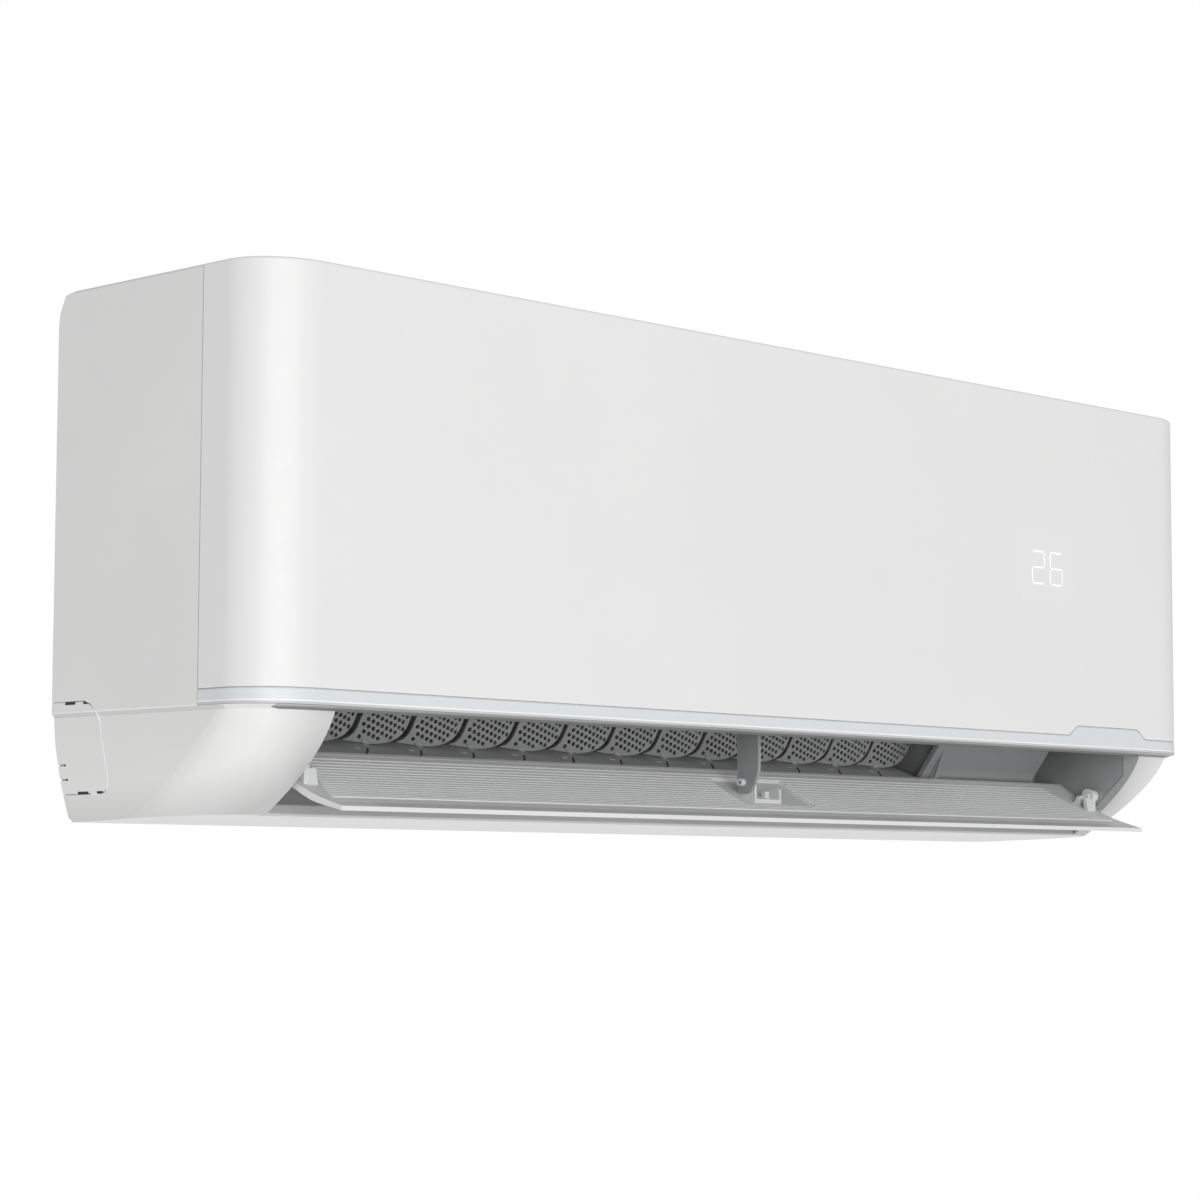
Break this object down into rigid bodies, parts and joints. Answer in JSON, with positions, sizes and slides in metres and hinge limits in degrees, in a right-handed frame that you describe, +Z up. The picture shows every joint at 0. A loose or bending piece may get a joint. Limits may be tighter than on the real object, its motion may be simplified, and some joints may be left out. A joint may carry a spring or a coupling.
{
  "type": "mini split indoor unit",
  "caption": "Wall-hung air conditioner indoor unit: white casing with a hinged front panel, digit display, open louvre flap, swinging leaves, filters, coil, cross-flow fan and wall plate.",
  "frame": {"origin": "centre of the wall plate's back face, on the wall", "axes": "+Z up, +Y into the wall so the front faces -Y, +X towards the right hand of a person facing the unit"},
  "size_m": [0.94, 0.2, 0.3272],
  "materials": {
    "casing_white": "fine satin moulded white plastic",
    "panel_white": "smooth satin white plastic",
    "trim_light": "satin cool white plastic strip",
    "flap_grey": "satin white plastic",
    "lining_grey": "matt light grey ribbed plastic",
    "strip_bright": "bright glossy strip",
    "duct_grey": "matt grey plastic",
    "vane_grey": "matt grey plastic",
    "grille_white": "satin white plastic grille",
    "tray_grey": "matt grey plastic",
    "chassis_white": "matt off-white plastic",
    "filter_frame": "matt pale plastic",
    "filter_mesh": "fine woven nylon mesh",
    "fin_aluminium": "thin pressed fins",
    "plate_steel": "zinc coated sheet steel",
    "copper": "drawn copper tube",
    "brass": "machined brass",
    "wheel_black": "matt black plastic",
    "shaft_steel": "ground steel",
    "rubber_black": "moulded rubber",
    "motor_body": "coated steel motor case",
    "stepper_body": "small geared motor case",
    "box_plastic": "flame retardant plastic",
    "board_green": "lacquered circuit board",
    "terminal_white": "moulded terminal strip",
    "display_white": "lit read-out segments",
    "screw_steel": "zinc plated",
    "button_white": "satin plastic button"
  },
  "bodies": {
    "housing": {"front_frame": "casing_white", "pipe_cover_left": "casing_white", "pipe_cover_right": "casing_white", "top_grille": "grille_white", "bottom_cover": "casing_white", "trim_strip": "trim_light", "outlet_duct": "duct_grey", "drain_pan": "tray_grey", "drain_plug": "rubber_black", "center_stay": "duct_grey", "coil_front_lower": "fin_aluminium", "coil_front_upper": "fin_aluminium", "coil_rear": "fin_aluminium", "coil_end_plates": "plate_steel", "coil_tubes": "copper", "air_sensor": "terminal_white", "fan_bearing": "brass", "bearing_seat": "rubber_black", "fan_motor": "motor_body", "motor_clamp": "chassis_white", "flap_motor": "stepper_body", "vane_motor": "stepper_body", "control_box": "box_plastic", "control_box_lid": "box_plastic", "main_board": "board_green", "terminal_block": "terminal_white", "refrigerant_pipes": "copper", "flare_nuts": "brass", "pipe_clamp": "chassis_white", "rear_chassis": "chassis_white", "wall_plate": "plate_steel", "casing_screws": "screw_steel"},
    "panel": {"front_panel": "panel_white", "display_board": "board_green", "display_digits": "display_white"},
    "air_flap": {"flap": "flap_grey", "flap_lining": "lining_grey", "flap_strip": "strip_bright", "flap_hinges": "lining_grey"},
    "fan": {"fan_wheel": "wheel_black", "fan_shaft": "shaft_steel"},
    "filter_left": {"filter_frame_left": "filter_frame", "filter_mesh_left": "filter_mesh"},
    "filter_right": {"filter_frame_right": "filter_frame", "filter_mesh_right": "filter_mesh"},
    "link_bar": {"vane_link": "vane_grey"},
    "button": {"service_button": "button_white"},
    "leaf_01": {"vane_01": "vane_grey"},
    "leaf_02": {"vane_02": "vane_grey"},
    "leaf_03": {"vane_03": "vane_grey"},
    "leaf_04": {"vane_04": "vane_grey"},
    "leaf_05": {"vane_05": "vane_grey"},
    "leaf_06": {"vane_06": "vane_grey"},
    "leaf_07": {"vane_07": "vane_grey"},
    "leaf_08": {"vane_08": "vane_grey"},
    "leaf_09": {"vane_09": "vane_grey"},
    "leaf_10": {"vane_10": "vane_grey"},
    "leaf_11": {"vane_11": "vane_grey"},
    "leaf_12": {"vane_12": "vane_grey"},
    "leaf_13": {"vane_13": "vane_grey"}
  },
  "joints": [
    {"name": "panel_hinge", "type": "hinge", "parent": "housing", "child": "panel", "pos_m": [0, -0.16, 0.156], "axis": [-1, 0, 0], "range_deg": [0, 60]},
    {"name": "flap_hinge", "type": "hinge", "parent": "housing", "child": "air_flap", "pos_m": [0, -0.1505, -0.1325], "axis": [1, 0, 0], "range_deg": [-61, 18]},
    {"name": "fan_spin", "type": "hinge", "parent": "housing", "child": "fan", "pos_m": [0, -0.084, -0.022], "axis": [1, 0, 0], "continuous": true},
    {"name": "filter_left_slide", "type": "slide", "parent": "housing", "child": "filter_left", "axis": [0, 0.2308, 0.973], "range_m": [0, 0.2]},
    {"name": "filter_right_slide", "type": "slide", "parent": "housing", "child": "filter_right", "axis": [0, 0.2308, 0.973], "range_m": [0, 0.2]},
    {"name": "button_press", "type": "slide", "parent": "housing", "child": "button", "axis": [0, 1, 0], "range_m": [0, 0.0015], "stiffness_N_per_m": 600},
    {"name": "leaf_13_swing", "type": "hinge", "parent": "housing", "child": "leaf_13", "pos_m": [0.2153, -0.087, -0.11445], "axis": [0, -0.342, 0.9397], "range_deg": [-160, 0]},
    {"name": "leaf_01_swing", "type": "hinge", "parent": "housing", "child": "leaf_01", "pos_m": [-0.3367, -0.087, -0.11445], "axis": [0, -0.342, 0.9397], "range_deg": [-160, 0]},
    {"name": "leaf_02_swing", "type": "hinge", "parent": "housing", "child": "leaf_02", "pos_m": [-0.2907, -0.087, -0.11445], "axis": [0, -0.342, 0.9397], "range_deg": [-160, 0]},
    {"name": "leaf_03_swing", "type": "hinge", "parent": "housing", "child": "leaf_03", "pos_m": [-0.2447, -0.087, -0.11445], "axis": [0, -0.342, 0.9397], "range_deg": [-160, 0]},
    {"name": "leaf_04_swing", "type": "hinge", "parent": "housing", "child": "leaf_04", "pos_m": [-0.1987, -0.087, -0.11445], "axis": [0, -0.342, 0.9397], "range_deg": [-160, 0]},
    {"name": "leaf_05_swing", "type": "hinge", "parent": "housing", "child": "leaf_05", "pos_m": [-0.1527, -0.087, -0.11445], "axis": [0, -0.342, 0.9397], "range_deg": [-160, 0]},
    {"name": "leaf_06_swing", "type": "hinge", "parent": "housing", "child": "leaf_06", "pos_m": [-0.1067, -0.087, -0.11445], "axis": [0, -0.342, 0.9397], "range_deg": [-160, 0]},
    {"name": "leaf_07_swing", "type": "hinge", "parent": "housing", "child": "leaf_07", "pos_m": [-0.0607, -0.087, -0.11445], "axis": [0, -0.342, 0.9397], "range_deg": [-160, 0]},
    {"name": "leaf_08_swing", "type": "hinge", "parent": "housing", "child": "leaf_08", "pos_m": [-0.0147, -0.087, -0.11445], "axis": [0, -0.342, 0.9397], "range_deg": [-160, 0]},
    {"name": "leaf_09_swing", "type": "hinge", "parent": "housing", "child": "leaf_09", "pos_m": [0.0313, -0.087, -0.11445], "axis": [0, -0.342, 0.9397], "range_deg": [-160, 0]},
    {"name": "leaf_10_swing", "type": "hinge", "parent": "housing", "child": "leaf_10", "pos_m": [0.0773, -0.087, -0.11445], "axis": [0, -0.342, 0.9397], "range_deg": [-160, 0]},
    {"name": "leaf_11_swing", "type": "hinge", "parent": "housing", "child": "leaf_11", "pos_m": [0.1233, -0.087, -0.11445], "axis": [0, -0.342, 0.9397], "range_deg": [-160, 0]},
    {"name": "leaf_12_swing", "type": "hinge", "parent": "housing", "child": "leaf_12", "pos_m": [0.1693, -0.087, -0.11445], "axis": [0, -0.342, 0.9397], "range_deg": [-160, 0]},
    {"name": "link_pin", "type": "hinge", "parent": "leaf_13", "child": "link_bar", "pos_m": [0.22712, -0.08896, -0.11516], "axis": [0, -0.342, 0.9397], "range_deg": [0, 160]}
  ],
  "couplings": [
    {"joint": "leaf_01_swing", "follows": "leaf_13_swing", "ratio": 1},
    {"joint": "leaf_02_swing", "follows": "leaf_13_swing", "ratio": 1},
    {"joint": "leaf_03_swing", "follows": "leaf_13_swing", "ratio": 1},
    {"joint": "leaf_04_swing", "follows": "leaf_13_swing", "ratio": 1},
    {"joint": "leaf_05_swing", "follows": "leaf_13_swing", "ratio": 1},
    {"joint": "leaf_06_swing", "follows": "leaf_13_swing", "ratio": 1},
    {"joint": "leaf_07_swing", "follows": "leaf_13_swing", "ratio": 1},
    {"joint": "leaf_08_swing", "follows": "leaf_13_swing", "ratio": 1},
    {"joint": "leaf_09_swing", "follows": "leaf_13_swing", "ratio": 1},
    {"joint": "leaf_10_swing", "follows": "leaf_13_swing", "ratio": 1},
    {"joint": "leaf_11_swing", "follows": "leaf_13_swing", "ratio": 1},
    {"joint": "leaf_12_swing", "follows": "leaf_13_swing", "ratio": 1},
    {"joint": "link_pin", "follows": "leaf_13_swing", "ratio": -1}
  ]
}
